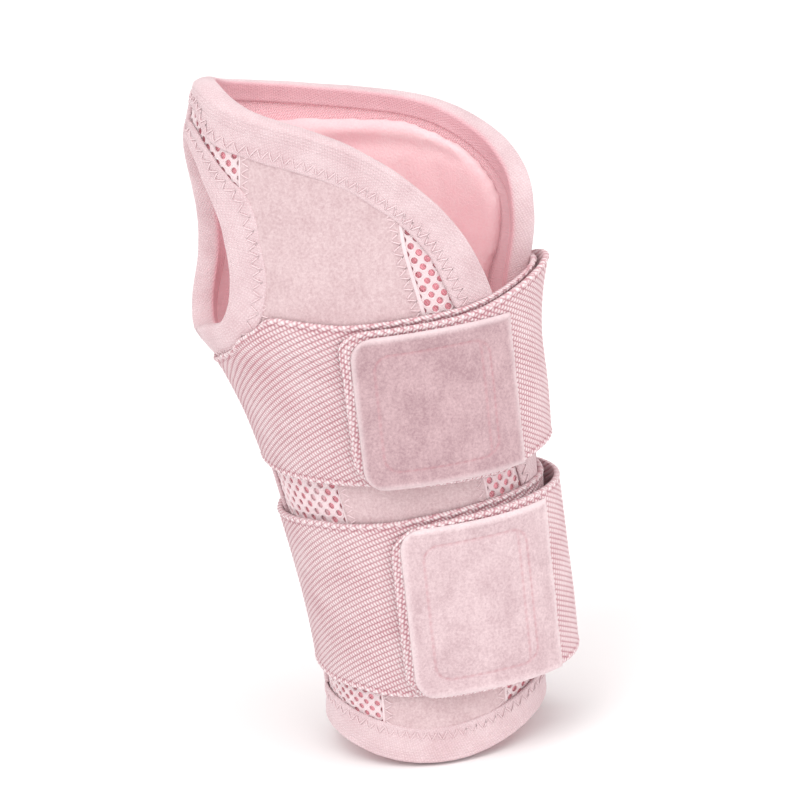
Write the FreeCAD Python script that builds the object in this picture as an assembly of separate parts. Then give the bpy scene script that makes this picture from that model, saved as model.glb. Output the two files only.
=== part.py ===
"""Wrist guard: a fabric sleeve with a thumb hole, two webbing wraps with hook tabs and a palm splint.

Millimetres, +Z along the forearm towards the fingers, origin at the centre of the cuff opening.
The front (-Y) is the back of the hand, -X is the thumb side and +X the slit side. Every layer of
cloth follows one form. A place on it is an angle round the sleeve (0 at the front, 90 at the slit
side, 180 at the palm, 270 or -90 at the thumb side), a height, and a distance out from its face.
"""
import FreeCAD, Part
import math
import os

# ---- the form: height, then reach to the thumb side, slit side, front and palm ----
FORM = [
    (0, 33.0, 33.0, 29.5, 28.0),
    (20, 32.0, 35.0, 29.0, 28.0),
    (45, 33.5, 36.5, 28.5, 28.0),
    (80, 38.6, 38.2, 28.0, 28.0),
    (105, 43.5, 39.0, 27.5, 28.0),
    (122, 49.5, 38.8, 27.5, 28.0),
    (136, 57.7, 40.5, 27.0, 28.0),
    (156, 56.4, 45.0, 27.0, 28.0),
    (190, 53.9, 45.5, 26.0, 28.0),
    (202, 51.3, 45.0, 25.5, 28.0),
    (216, 45.0, 45.0, 25.0, 28.0),
]
PALM_FULLNESS = 0.08      # how much squarer than an ellipse the palm half is
HEM_RISE = 8.0            # the cuff's hem is this much higher at the sides than in front

# ---- layers of the sleeve ----
GAP = 0.2                 # clearance between neighbouring layers
PANEL_THICK = 2.4
MESH_THICK = 0.8
LINING_THICK = 1.6
STACK_THICK = PANEL_THICK + GAP + LINING_THICK
PAD_THICK = 4.0
TAPE_THICK = 0.8
TAPE_OUTSIDE_WIDTH = 10.0
TAPE_INSIDE_WIDTH = 4.6
TAPE_BRIDGE_WIDTH = 5.0   # narrower above the thumb hole, where two tapes lie side by side
EDGE_PLAY = 0.6           # the cloth's edge stays this far inside the tape's fold
OUTER_RUN = 6             # points across the tape's outside and inside leaves
INNER_RUN = 4
SEAM_ANGLE = -88.0        # thumb side seam between the front and the palm panel
SEAM_TAPE_HALF = 5.5      # degrees

# ---- edges of the sleeve, as (angle, height) ----
FRONT_EDGE = [(84, 18.6), (86, 45), (84, 71), (75.5, 89), (63, 113), (51, 137), (39, 152), (31, 162),
              (21, 172), (8.5, 181.5), (-4, 188.5), (-17, 193.5), (-28, 196.5), (-41, 199.5),
              (-57, 203.8), (-70, 206.8), (-80, 208)]
BACK_EDGE = [(-96, 208), (-110, 206.8), (-127, 204.6), (-144, 202.2), (-163, 199.2), (-180, 196.5),
             (-198, 193.2), (-211, 189.4), (-226, 182.5), (-243, 173.5), (-259, 164), (-264, 150),
             (-264, 115), (-264, 70), (-263, 18.6)]
THUMB_HOLE = [(-79.4, 135.4), (-68, 136.5), (-56, 138.5), (-50, 144), (-49, 154), (-51.6, 167),
              (-54.8, 173.5), (-61, 181), (-68.5, 188.5), (-78, 193), (-89, 193), (-98, 187.5), (-109, 178), (-115, 166),
              (-112, 153), (-102, 142), (-90, 136.4), (-80.2, 135.3)]

# ---- borders between the strips of the front, as (angle, height) ----
THUMB_BORDER = [(-30.5, -8), (-30.5, 16), (-31.3, 76), (-33, 110), (-37, 140), (-42, 163), (-43.5, 177),
                (-42.5, 193), (-41, 216)]
SLIT_BORDER = [(37.5, -8), (37.5, 30), (36.5, 76), (33, 95), (22, 136.5), (14, 155), (11, 170), (3, 185),
               (-16, 216)]
BORDER_GAP = 0.4          # degrees

# ---- plush pad inside the palm ----
PAD_SLIT_SIDE = [(122, 30), (122, 80), (122.5, 130), (117.5, 148), (118, 160), (125.5, 168.5), (137, 176.5)]
PAD_THUMB_SIDE = [(238, 30), (238, 80), (238, 124), (232, 137), (229.5, 150), (228, 170), (216, 192)]
PAD_TOP = [(137, 176.5), (149, 182.5), (163, 187), (190, 190.5), (216, 192)]

# ---- straps: heights of the webbing's edges against how far across they are ----
WEBBING_THICK = 1.6
HOOK_THICK = 0.7
TAB_THICK = 1.0
BAND_OUT = 1.15           # webbing lies over the tapes
LAP_OUT = 3.85            # the free end lies over the webbing and its own hook patch
HINGE_OUT = 3.2
HINGE_PROUD = 0.25         # the peel line is this far out from the webbing's face
POCKET_OUT = 6.4          # webbing passing over the splint pocket
ROOT_ANGLE = 112.0        # where the webbing is sewn to the palm panel's slit edge
HINGE_ANGLE = 126.0       # where the webbing's free end starts
HINGE_PLAY = 1.6          # degrees between the hinge axis and the fixed webbing
TAB_CORNER = 6.5
TAB_OVERHANG = 3.0        # webbing seen past the end of the tab
HOOK_INSET = 3.0
TAB_INSET_BELOW = 0.8
TAB_INSET_ABOVE = 3.4      # the webbing shows above the tab
FREE_END_LOWER = 0.97     # share of the band's height that the free end reaches
STRAPS = {
    "upper": {
        "middle": 112.5,
        "bottom": [(-48, 94), (-44, 91.6), (-36, 90.2), (-25, 89), (-13, 88.2), (0, 87.5), (25, 87),
                   (40, 89.5), (56, 93)],
        "top": [(-48.5, 124.5), (-43.3, 128.7), (-37.8, 131.8), (-34.9, 134.8), (-32.4, 136.6), (-30, 138.3),
                (-27.5, 140.8), (-25, 141.4), (-21.3, 140.6), (-16, 139.3), (-10.9, 138.2), (-6, 137.6),
                (5, 137.5), (25, 138.5), (37, 143), (46, 149), (56, 153)],
        "tab_left": -13.0, "tab_right": 34.6, "loose_low": 0.6, "loose_high": 0.8},
    "lower": {
        "middle": 49.75,
        "bottom": [(-36, 27), (-30.8, 24.3), (-22, 23), (-13.5, 21.6), (-3, 21.2), (20, 21), (45, 22)],
        "top": [(-36, 76.4), (-30, 76.9), (-24, 77), (-18, 76.5), (-5, 76.6), (2, 77.2), (20, 78.5),
                (45, 79.5)],
        "tab_left": -5.0, "tab_right": 39.5, "loose_low": 6.2, "loose_high": 2.2},
}

# ---- palm splint and its pocket ----
SPLINT_WIDTH = 22.0
SPLINT_THICK = 1.5
SPLINT_BOTTOM = 24.0
SPLINT_TOP = 172.0
SPLINT_ACROSS = 0.0
SPLINT_SLOT = 0.3         # play round the splint in its pocket
CAP_LENGTH = 9.0
CAP_WALL = 0.5
POCKET_WALL = 0.7
POCKET_TOP = 174.0
POCKET_NOTCH = 9.0        # the outer wall is this much shorter, for a finger

# ---- thumb side stay, sewn in behind the mesh ----
STAY_BOTTOM = 16.0
STAY_TOP = 118.0
STAY_FROM_BORDER = (-20.5, -11.0)    # degrees from the thumb side border
STAY_THICK = 0.8
STAY_COVER_THICK = 0.4

os.makedirs("parts", exist_ok=True)


def smoothstep(start, end, value):
    t = min(max((value - start) / (end - start), 0.0), 1.0)
    return t * t * (3 - 2 * t)


def spline_value(table, column, place):
    """Smooth value of one column of a table, at a place in its first column."""
    last = len(table) - 1
    place = min(max(place, table[0][0]), table[last][0])
    low = 0
    while low < last - 1 and place > table[low + 1][0]:
        low += 1

    def slope(i):
        before, after = max(i - 1, 0), min(i + 1, last)
        return (table[after][column] - table[before][column]) / (table[after][0] - table[before][0])

    step = table[low + 1][0] - table[low][0]
    t = (place - table[low][0]) / step
    rise = table[low + 1][column] - table[low][column]
    start, end = slope(low) * step, slope(low + 1) * step
    bend = t * t * (3 * rise - 2 * start - end) + t ** 3 * (start + end - 2 * rise)
    return table[low][column] + t * start + bend


def form_point(angle, height, out):
    """Point on the sleeve's form, moved out from its face."""
    thumb, slit, front, palm = [spline_value(FORM, column, height) for column in (1, 2, 3, 4)]
    turn = math.radians(angle)
    side, fore = math.sin(turn), math.cos(turn)
    fullness = 1.0
    if fore < 0:
        fullness += PALM_FULLNESS * math.sin(2 * turn) ** 2
    x = (slit - thumb) / 2 + ((slit + thumb) / 2 + out) * side * fullness
    y = (palm - front) / 2 - ((palm + front) / 2 + out) * fore * fullness
    return FreeCAD.Vector(x, y, height)


def hem_height(angle):
    return HEM_RISE * math.sin(math.radians(angle)) ** 2


def evenly(low, high, count):
    return [low + (high - low) * i / (count - 1) for i in range(count)]


def smooth_path(points, count):
    """(angle, height) points spaced evenly along a smooth curve through the given ones."""
    curve = Part.BSplineCurve()
    curve.interpolate([FreeCAD.Vector(angle, height, 0) for angle, height in points])
    return [(p.x, p.y) for p in curve.discretize(count)]


def shifted(path, angle):
    return [(a + angle, height) for a, height in path]


# ---- solids ----

def curve_through(points):
    curve = Part.BSplineCurve()
    curve.interpolate(points)
    return curve.toShape()


def solid_from_faces(faces):
    """Closed solid from faces that meet along their edges."""
    joined = Part.makeCompound(faces)
    joined.sewShape()
    solid = Part.makeSolid(joined.Shells[0])
    if solid.Volume < 0:
        solid.reverse()
    return solid


def solid_between(inner, outer):
    """Solid between two grids of points of the same size."""
    faces = []
    for grid in (inner, outer):
        surface = Part.BSplineSurface()
        surface.interpolate(grid)
        faces.append(surface.toShape())
    for inside, outside in zip(faces[0].Edges, faces[1].Edges):
        faces.append(Part.makeRuledSurface(inside, outside))
    return solid_from_faces(faces)


def patch(left, right, low, high, across=13, top=None):
    """Cloth between two side paths of (angle, height), from low to high out of the sleeve's face."""
    rows = len(left)
    crown = [0.0] * across
    if top:
        start, end = top[0], top[-1]
        for i, (angle, height) in enumerate(smooth_path(top, across)):
            t = i / (across - 1)
            crown[i] = height - (start[1] + (end[1] - start[1]) * t)
    grids = ([], [])
    for row, ((a0, h0), (a1, h1)) in enumerate(zip(left, right)):
        for grid, out in zip(grids, (low, high)):
            points = []
            for i in range(across):
                t = i / (across - 1)
                height = h0 + (h1 - h0) * t + crown[i] * row / (rows - 1)
                points.append(form_point(a0 + (a1 - a0) * t, height, out))
            grid.append(points)
    return solid_between(*grids)


def blank(left_angle, right_angle, bottom, top, low, high, across=13):
    """Cloth between two angles and two heights."""
    heights = evenly(bottom, top, 2 + int((top - bottom) / 6))
    return patch([(left_angle, h) for h in heights], [(right_angle, h) for h in heights], low, high, across)


def tape(path, cloth_side):
    """Tape folded over an edge; cloth_side is 1 where the cloth is left of the path, else -1."""
    outside, inside = GAP, -(STACK_THICK + GAP)
    fold = -(EDGE_PLAY + TAPE_THICK)
    profiles = []
    last = len(path) - 1
    for i, (angle, height) in enumerate(path):
        before, after = path[max(i - 1, 0)], path[min(i + 1, last)]
        reach = form_point(angle + 1, height, 0).distanceToPoint(form_point(angle - 1, height, 0)) / 2
        along = FreeCAD.Vector((after[0] - before[0]) * reach, after[1] - before[1], 0)
        along.normalize()
        wide = max(smoothstep(16, 40, abs(angle - SEAM_ANGLE)), 1 - smoothstep(172, 186, height))
        outer_width = TAPE_BRIDGE_WIDTH + (TAPE_OUTSIDE_WIDTH - TAPE_BRIDGE_WIDTH) * wide
        inner_width = min(TAPE_INSIDE_WIDTH, outer_width)

        def run(start, end, out, count):
            points = []
            for depth in evenly(start, end, count):
                turn = -along.y * cloth_side * depth / reach
                points.append(form_point(angle + turn, height + along.x * cloth_side * depth, out))
            return points

        cover = run(outer_width, fold, outside + TAPE_THICK, OUTER_RUN)
        cover += run(fold, inner_width, inside - TAPE_THICK, INNER_RUN)
        against_cloth = run(outer_width, -EDGE_PLAY, outside, OUTER_RUN)
        against_cloth += run(-EDGE_PLAY, inner_width, inside, INNER_RUN)
        profiles.append(cover + against_cloth[::-1])
    corners = len(profiles[0])
    rails = [curve_through([profile[i] for profile in profiles]) for i in range(corners)]
    faces = [Part.makeRuledSurface(rails[i], rails[(i + 1) % corners]) for i in range(corners)]
    for profile in (profiles[0], profiles[-1]):
        for i in range(corners // 2 - 1):
            a, b, c, d = profile[i], profile[i + 1], profile[-2 - i], profile[-1 - i]
            faces.append(Part.makeRuledSurface(Part.makeLine(a, b), Part.makeLine(d, c)))
    return solid_from_faces(faces)


def export(name, shape):
    for solid in shape.Solids:
        if not solid.isValid() or solid.Volume <= 0:
            raise ValueError(name + " isn't a valid solid")
    shape.exportStep("parts/" + name + ".step")
    print("%-24s %d solid %10.1f mm3" % (name, len(shape.Solids), shape.Volume))


# ---- what is cut away from the blanks ----

CUT_IN = -7.0
CUT_OUT = 3.0
CUT_PIECES = 4
PIECE_ROWS = 16


def cutters(edge, away):
    """Everything between an edge and a path away from it, as overlapping pieces in a row."""
    count = CUT_PIECES * PIECE_ROWS + 2
    edge_path, away_path = smooth_path(edge, count), smooth_path(away, count)
    pieces = []
    for piece in range(CUT_PIECES):
        first = piece * PIECE_ROWS
        last = first + PIECE_ROWS + 2
        pieces.append(patch(edge_path[first:last], away_path[first:last], CUT_IN, CUT_OUT, 9))
    return pieces


def hem_cutter(start, end):
    angles = evenly(start, end, 31)
    return patch([(a, -20.0) for a in angles], [(a, hem_height(a)) for a in angles], CUT_IN, CUT_OUT, 3)


front_cutters = cutters([(84, -20), (84, 0)] + FRONT_EDGE + BACK_EDGE[:1],
                        [(140, -20), (140, 100), (125, 200), (40, 250), (-96, 250)])
palm_cutters = cutters(FRONT_EDGE[-1:] + BACK_EDGE + [(-263, 0), (-263, -20)],
                       [(-80, 250), (-220, 250), (-300, 200), (-320, 100), (-320, -20)])
if not all(piece.isValid() for piece in front_cutters + palm_cutters):
    raise ValueError("a cutter isn't a valid solid")
front_hem_cutter = hem_cutter(-100, 110)
palm_hem_cutter = hem_cutter(-280, -76)
HOLE_POINTS = 80
hole_path = smooth_path(THUMB_HOLE, HOLE_POINTS)
half = HOLE_POINTS // 2
hole_cutter = patch(hole_path[:half:-1], hole_path[:half - 1], CUT_IN, CUT_OUT, 13)

# ---- front of the sleeve ----
BLANK_BOTTOM, BLANK_TOP = -8.0, 216.0
SEAM_GAP = 0.5            # degrees either side of the thumb side seam


def trimmed(shape, cut_away):
    for piece in cut_away:
        shape = shape.cut(piece)
    return shape


def trim_front(shape, has_hole):
    return trimmed(shape, front_cutters + [front_hem_cutter] + [hole_cutter] * has_hole)


thumb_border = smooth_path(THUMB_BORDER, 41)
slit_border = smooth_path(SLIT_BORDER, 41)
seam_side = [(SEAM_ANGLE + SEAM_GAP, height) for angle, height in thumb_border]
slit_side = [(98.0, height) for angle, height in slit_border]

export("front_panel", trim_front(patch(thumb_border, slit_border, -PANEL_THICK, 0, 15), False))
thumb_mesh = patch(seam_side, shifted(thumb_border, -BORDER_GAP), -MESH_THICK, 0)
slit_mesh = patch(shifted(slit_border, BORDER_GAP), slit_side, -MESH_THICK, 0)
export("thumb_side_mesh", trim_front(thumb_mesh, True))
export("slit_side_mesh", trim_front(slit_mesh, False))
lining_out = -(PANEL_THICK + GAP)
export("front_lining", trim_front(blank(SEAM_ANGLE + SEAM_GAP, 98, BLANK_BOTTOM, BLANK_TOP,
                                        lining_out - LINING_THICK, lining_out, 27), True))

# ---- stay behind the thumb side mesh ----
cover_out = -(MESH_THICK + GAP)
stay_out = cover_out - STAY_COVER_THICK - GAP


def along_border(start, end, bottom, top, low, high):
    """Strip beside the thumb side border, between two angles measured from it."""
    border = [point for point in thumb_border if bottom <= point[1] <= top]
    return patch(shifted(border, start), shifted(border, end), low, high, 7)


stay_left, stay_right = STAY_FROM_BORDER
export("stay_cover", along_border(stay_left - 2, stay_right + 1.5, STAY_BOTTOM - 3, STAY_TOP + 3,
                                  cover_out - STAY_COVER_THICK, cover_out))
export("thumb_side_stay", along_border(stay_left, stay_right, STAY_BOTTOM, STAY_TOP,
                                       stay_out - STAY_THICK, stay_out))

# ---- palm side of the sleeve ----

def trim_palm(shape):
    return trimmed(shape, palm_cutters + [palm_hem_cutter, hole_cutter])


palm_seam = SEAM_ANGLE - SEAM_GAP
export("palm_panel", trim_palm(blank(-278, palm_seam, BLANK_BOTTOM, BLANK_TOP, -PANEL_THICK, 0, 31)))
export("palm_lining", trim_palm(blank(-278, palm_seam, BLANK_BOTTOM, BLANK_TOP,
                                      lining_out - LINING_THICK, lining_out, 31)))
pad_out = -(STACK_THICK + GAP)
export("palm_pad", patch(smooth_path(PAD_SLIT_SIDE, 31), smooth_path(PAD_THUMB_SIDE, 31),
                         pad_out - PAD_THICK, pad_out, 17, PAD_TOP))

# ---- tapes over the edges and the seam ----
export("opening_tape", tape(smooth_path(FRONT_EDGE + BACK_EDGE, 150), 1))
export("thumb_hole_tape", tape(hole_path, -1))
hem_path = [(angle, hem_height(angle)) for angle in evenly(-262, 83, 80)]
export("cuff_tape", tape(hem_path, 1))
export("thumb_seam_tape", blank(SEAM_ANGLE - SEAM_TAPE_HALF, SEAM_ANGLE + SEAM_TAPE_HALF, 19.0, 124.0,
                                GAP, GAP + TAPE_THICK, 3))


# ---- straps ----

def strap_point(strap, angle, t, out):
    """Point on a strap, t from its bottom edge to its top edge."""
    across = form_point(angle, strap["middle"], out).x
    bottom = spline_value(strap["bottom"], 1, across)
    top = spline_value(strap["top"], 1, across)
    return form_point(angle, bottom + (top - bottom) * t, out)


def band_out(angle):
    """How far out the fixed webbing lies, along its turn from the root back to the hinge."""
    from_palm = abs(angle + 180)
    out = BAND_OUT + (POCKET_OUT - BAND_OUT) * (1 - smoothstep(22, 50, from_palm))
    end = HINGE_ANGLE - 360
    return out + (HINGE_OUT - out) * smoothstep(end + 26, end + 3, angle)


def lap_out(strap, angle, t):
    """How far out the free end lies, loose where it turns round the slit side."""
    loose = strap["loose_low"] + (strap["loose_high"] - strap["loose_low"]) * t
    bulge = smoothstep(14, 78, angle) * (1 - smoothstep(92, HINGE_ANGLE - 3, angle))
    laid = HINGE_OUT + (LAP_OUT - HINGE_OUT) * smoothstep(HINGE_ANGLE, HINGE_ANGLE - 12, angle)
    return laid + loose * bulge


def strap_solid(strap, angles, out_at, thick, top_share=1.0):
    grids = []
    for extra in (0, thick):
        grids.append([[strap_point(strap, angle, t, out_at(angle, t) + extra)
                       for t in evenly(0, top_share, 14)] for angle in angles])
    return solid_between(*grids)


def angle_at(strap, across, height_share=0.5):
    """Angle on the front at which the free end is this far across."""
    low, high = -60.0, 88.0
    for step in range(30):
        middle = (low + high) / 2
        point = strap_point(strap, middle, height_share, lap_out(strap, middle, height_share))
        low, high = (middle, high) if point.x < across else (low, middle)
    return low


def rounded_rectangle(left, right, bottom, top, corner):
    """Prism along Y whose two left corners are rounded."""
    back, depth = -60.0, 70.0
    start = FreeCAD.Vector(left + corner, back, bottom)
    box = Part.makeBox(right - left, depth, top - bottom, FreeCAD.Vector(left, back, bottom))
    rounded = [edge for edge in box.Edges
               if abs(edge.BoundBox.YLength - depth) < 1e-6 and edge.BoundBox.XMin < start.x - corner + 1e-3]
    return box.makeFillet(corner, rounded)


def edge_heights(strap, across):
    return spline_value(strap["bottom"], 1, across), spline_value(strap["top"], 1, across)


for name, strap in STRAPS.items():
    left, right = strap["tab_left"], strap["tab_right"]
    bottom, top = edge_heights(strap, (left + right) / 2)
    hinge_end = HINGE_ANGLE - 360 + HINGE_PLAY
    band_angles = evenly(hinge_end, ROOT_ANGLE, 76)
    export(name + "_webbing", strap_solid(strap, band_angles, lambda a, t: band_out(a), WEBBING_THICK))

    lap_start = angle_at(strap, left - TAB_OVERHANG)
    lap_angles = evenly(lap_start, HINGE_ANGLE, 36)

    def this_lap(angle, t):
        return lap_out(strap, angle, t)

    export(name + "_free_end", strap_solid(strap, lap_angles, this_lap, WEBBING_THICK, FREE_END_LOWER))

    tab_angles = evenly(lap_start - 3, angle_at(strap, right) + 4, 21)
    tab_sheet = strap_solid(strap, tab_angles, lambda a, t: this_lap(a, t) + WEBBING_THICK + 0.15, TAB_THICK)
    tab_shape = rounded_rectangle(left, right, bottom + TAB_INSET_BELOW, top - TAB_INSET_ABOVE, TAB_CORNER)
    export(name + "_tab", tab_sheet.common(tab_shape))

    hook_sheet = strap_solid(strap, tab_angles, lambda a, t: this_lap(a, t) - 0.15 - HOOK_THICK, HOOK_THICK)
    hook_shape = rounded_rectangle(left + HOOK_INSET, right - 2 * HOOK_INSET, bottom + HOOK_INSET,
                                   top - HOOK_INSET - 2, TAB_CORNER - 2)
    export(name + "_hook_patch", hook_sheet.common(hook_shape))
    pivot_out = HINGE_OUT + WEBBING_THICK + HINGE_PROUD
    low, high = [strap_point(strap, HINGE_ANGLE, t, pivot_out) for t in (0, 1)]
    axis = (high - low).normalize()
    print("  hinge of", name, "at", [round(value, 2) for value in (low + high) / 2],
          "along", [round(value, 4) for value in axis])

# ---- palm splint in its pocket ----
cavity_deep = SPLINT_THICK + 2 * SPLINT_SLOT
cavity_half = SPLINT_WIDTH / 2 + SPLINT_SLOT + CAP_WALL
pocket_inner = spline_value(FORM, 4, 100) + GAP
cavity_near = pocket_inner + POCKET_WALL
cap_far = cavity_near + cavity_deep + 2 * CAP_WALL


def box(x_half, near, far, bottom, top):
    corner = FreeCAD.Vector(SPLINT_ACROSS - x_half, near, bottom)
    return Part.makeBox(2 * x_half, far - near, top - bottom, corner)


floor = SPLINT_BOTTOM - CAP_WALL - SPLINT_SLOT
pocket = box(cavity_half + POCKET_WALL, pocket_inner, cap_far + POCKET_WALL, floor - POCKET_WALL, POCKET_TOP)
pocket = pocket.cut(box(cavity_half, cavity_near, cap_far, floor, POCKET_TOP + 1))
notch = box(cavity_half + POCKET_WALL + 1, cap_far - 0.1, cap_far + POCKET_WALL + 1,
            POCKET_TOP - POCKET_NOTCH, POCKET_TOP + 1)
export("splint_pocket", pocket.cut(notch))

splint_near = cavity_near + CAP_WALL + SPLINT_SLOT
splint = box(SPLINT_WIDTH / 2, splint_near, splint_near + SPLINT_THICK, SPLINT_BOTTOM, SPLINT_TOP)
upright = [edge for edge in splint.Edges if abs(edge.BoundBox.YLength - SPLINT_THICK) < 1e-6]
splint = splint.makeFillet(SPLINT_WIDTH / 4, upright)
export("palm_splint", splint)

caps = []
for bottom, top in ((SPLINT_BOTTOM - CAP_WALL, SPLINT_BOTTOM + CAP_LENGTH),
                    (SPLINT_TOP - CAP_LENGTH, SPLINT_TOP + CAP_WALL)):
    cap = box(SPLINT_WIDTH / 2 + CAP_WALL, splint_near - CAP_WALL,
              splint_near + SPLINT_THICK + CAP_WALL, bottom, top)
    upright = [edge for edge in cap.Edges if abs(edge.BoundBox.YLength - SPLINT_THICK - 2 * CAP_WALL) < 1e-6]
    rounded_end = bottom if bottom < SPLINT_BOTTOM else top
    outer_end = [edge for edge in upright if abs(edge.BoundBox.ZMin - rounded_end) < 1e-6]
    caps.append(cap.makeFillet(SPLINT_WIDTH / 4 + CAP_WALL, outer_end).cut(splint))
export("splint_end_caps", Part.makeCompound(caps))
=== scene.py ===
"""Looks of the wrist guard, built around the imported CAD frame. Sizes are millimetres until a mesh is made.

Every layer of cloth follows the CAD's form: a place on it is an angle round the sleeve (0 at the
front, 90 at the slit side, 180 at the palm, -90 at the thumb side), a height and a distance out.
"""

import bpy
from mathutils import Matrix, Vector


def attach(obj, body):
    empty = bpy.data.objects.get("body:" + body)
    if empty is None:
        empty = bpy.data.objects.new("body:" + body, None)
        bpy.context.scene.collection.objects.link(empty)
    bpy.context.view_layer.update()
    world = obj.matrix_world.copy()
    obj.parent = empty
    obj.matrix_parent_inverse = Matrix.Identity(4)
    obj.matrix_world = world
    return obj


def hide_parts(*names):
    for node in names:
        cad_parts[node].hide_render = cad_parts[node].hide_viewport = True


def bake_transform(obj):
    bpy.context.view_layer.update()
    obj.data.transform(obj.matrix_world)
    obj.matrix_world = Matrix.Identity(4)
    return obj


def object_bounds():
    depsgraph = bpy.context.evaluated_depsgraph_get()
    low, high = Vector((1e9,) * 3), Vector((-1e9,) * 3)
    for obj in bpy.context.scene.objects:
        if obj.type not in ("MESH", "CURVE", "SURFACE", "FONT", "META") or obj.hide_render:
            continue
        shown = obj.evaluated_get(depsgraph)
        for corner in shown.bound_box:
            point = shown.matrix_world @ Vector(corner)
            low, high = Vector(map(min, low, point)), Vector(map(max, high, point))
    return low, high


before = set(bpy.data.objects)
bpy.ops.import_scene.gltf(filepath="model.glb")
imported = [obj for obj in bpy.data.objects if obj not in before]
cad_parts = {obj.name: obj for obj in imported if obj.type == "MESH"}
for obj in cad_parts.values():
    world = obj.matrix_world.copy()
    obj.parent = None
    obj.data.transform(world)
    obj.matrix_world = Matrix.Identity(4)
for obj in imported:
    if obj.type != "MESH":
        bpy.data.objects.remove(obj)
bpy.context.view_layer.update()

import math

import bpy
import numpy as np
from mathutils import Matrix, Vector

MM = 0.001
scene = bpy.context.scene

# ---- the form, as in the CAD
FORM = np.array([
    (0, 33.0, 33.0, 29.5, 28.0), (20, 32.0, 35.0, 29.0, 28.0), (45, 33.5, 36.5, 28.5, 28.0),
    (80, 38.6, 38.2, 28.0, 28.0), (105, 43.5, 39.0, 27.5, 28.0), (122, 49.5, 38.8, 27.5, 28.0),
    (136, 57.7, 40.5, 27.0, 28.0), (156, 56.4, 45.0, 27.0, 28.0), (190, 53.9, 45.5, 26.0, 28.0),
    (202, 51.3, 45.0, 25.5, 28.0), (216, 45.0, 45.0, 25.0, 28.0)])
PALM_FULLNESS = 0.08
HEM_RISE = 8.0
UV_PER_DEGREE = 0.62      # about how many millimetres a degree is
HEM_FADE = 20.0           # height at which the hem's rise has faded out
PANEL_THICK = 2.4
LINING_OUT, LINING_THICK = -2.6, 1.6
SEAM_ANGLE = -88.0

FRONT_EDGE = [
    (84, 18.6), (86, 45), (84, 71), (75.5, 89), (63, 113), (51, 137), (39, 152), (31, 162), (21, 172),
    (8.5, 181.5), (-4, 188.5), (-17, 193.5), (-28, 196.5), (-41, 199.5), (-57, 203.8), (-70, 206.8),
    (-80, 208)]
BACK_EDGE = [
    (-96, 208), (-110, 206.8), (-127, 204.6), (-144, 202.2), (-163, 199.2), (-180, 196.5), (-198, 193.2),
    (-211, 189.4), (-226, 182.5), (-243, 173.5), (-259, 164), (-264, 150), (-264, 115), (-264, 70),
    (-263, 18.6)]
THUMB_HOLE = [
    (-79.4, 135.4), (-68, 136.5), (-56, 138.5), (-50, 144), (-49, 154), (-51.6, 167), (-54.8, 173.5),
    (-61, 181), (-68.5, 188.5), (-78, 193), (-89, 193), (-98, 187.5), (-109, 178), (-115, 166),
    (-112, 153), (-102, 142), (-90, 136.4)]
THUMB_BORDER = [
    (-30.5, -8), (-30.5, 16), (-31.3, 76), (-33, 110), (-37, 140), (-42, 163), (-43.5, 177), (-42.5, 193),
    (-41, 216)]
SLIT_BORDER = [
    (37.5, -8), (37.5, 30), (36.5, 76), (33, 95), (22, 136.5), (14, 155), (11, 170), (3, 185), (-16, 216)]
PAD_SLIT_SIDE = [(122, 30), (122, 80), (122.5, 130), (117.5, 148), (118, 160), (125.5, 168.5), (137, 176.5)]
PAD_THUMB_SIDE = [(238, 30), (238, 80), (238, 124), (232, 137), (229.5, 150), (228, 170), (216, 192)]
PAD_TOP = [(137, 176.5), (149, 182.5), (163, 187), (190, 190.5), (216, 192)]

# ---- the straps, as in the CAD
WEBBING = 1.6
BAND_OUT, LAP_OUT, HINGE_OUT, POCKET_OUT = 1.15, 3.85, 3.2, 6.4
ROOT_ANGLE, HINGE_ANGLE = 112.0, 126.0
STRAPS = {
    "upper": {
        "middle": 112.5,
        "bottom": [(-48, 94), (-44, 91.6), (-36, 90.2), (-25, 89), (-13, 88.2), (0, 87.5), (25, 87),
                   (40, 89.5), (56, 93)],
        "top": [
            (-48.5, 124.5), (-43.3, 128.7), (-37.8, 131.8), (-34.9, 134.8), (-32.4, 136.6), (-30, 138.3),
            (-27.5, 140.8), (-25, 141.4), (-21.3, 140.6), (-16, 139.3), (-10.9, 138.2), (-6, 137.6),
            (5, 137.5), (25, 138.5), (37, 143), (46, 149), (56, 153)],
        "tab": (-13.0, 34.6), "loose": (0.6, 0.8)},
    "lower": {
        "middle": 49.75,
        "bottom": [(-36, 27), (-30.8, 24.3), (-22, 23), (-13.5, 21.6), (-3, 21.2), (20, 21), (45, 22)],
        "top": [
            (-36, 76.4), (-30, 76.9), (-24, 77), (-18, 76.5), (-5, 76.6), (2, 77.2), (20, 78.5), (45, 79.5)],
        "tab": (-5.0, 39.5), "loose": (6.2, 2.2)}}
TAB_INSET_BELOW, TAB_INSET_ABOVE, FREE_END_LOWER = 0.8, 3.4, 0.97
TAB_CORNER, TAB_THICK, TAB_OVERHANG = 6.5, 1.0, 3.0


def smooth(start, end, value):
    t = np.clip((np.asarray(value, float) - start) / (end - start), 0, 1)
    return t * t * (3 - 2 * t)


def bump(value, half, at=0.0):
    """1 at a place, falling off on both sides of it."""
    return np.exp(-((value - at) / half) ** 2)


def rim(value, wide, power=2):
    """1 at an edge, falling to 0 over a width."""
    return np.clip(1 - value / wide, 0, 1) ** power


def grid(low, high, rows, columns, left=0):
    """Places up a sheet, as a column, and shares across it, as a row."""
    return np.linspace(low, high, rows)[:, None], np.linspace(left, 1, columns)[None, :]


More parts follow.
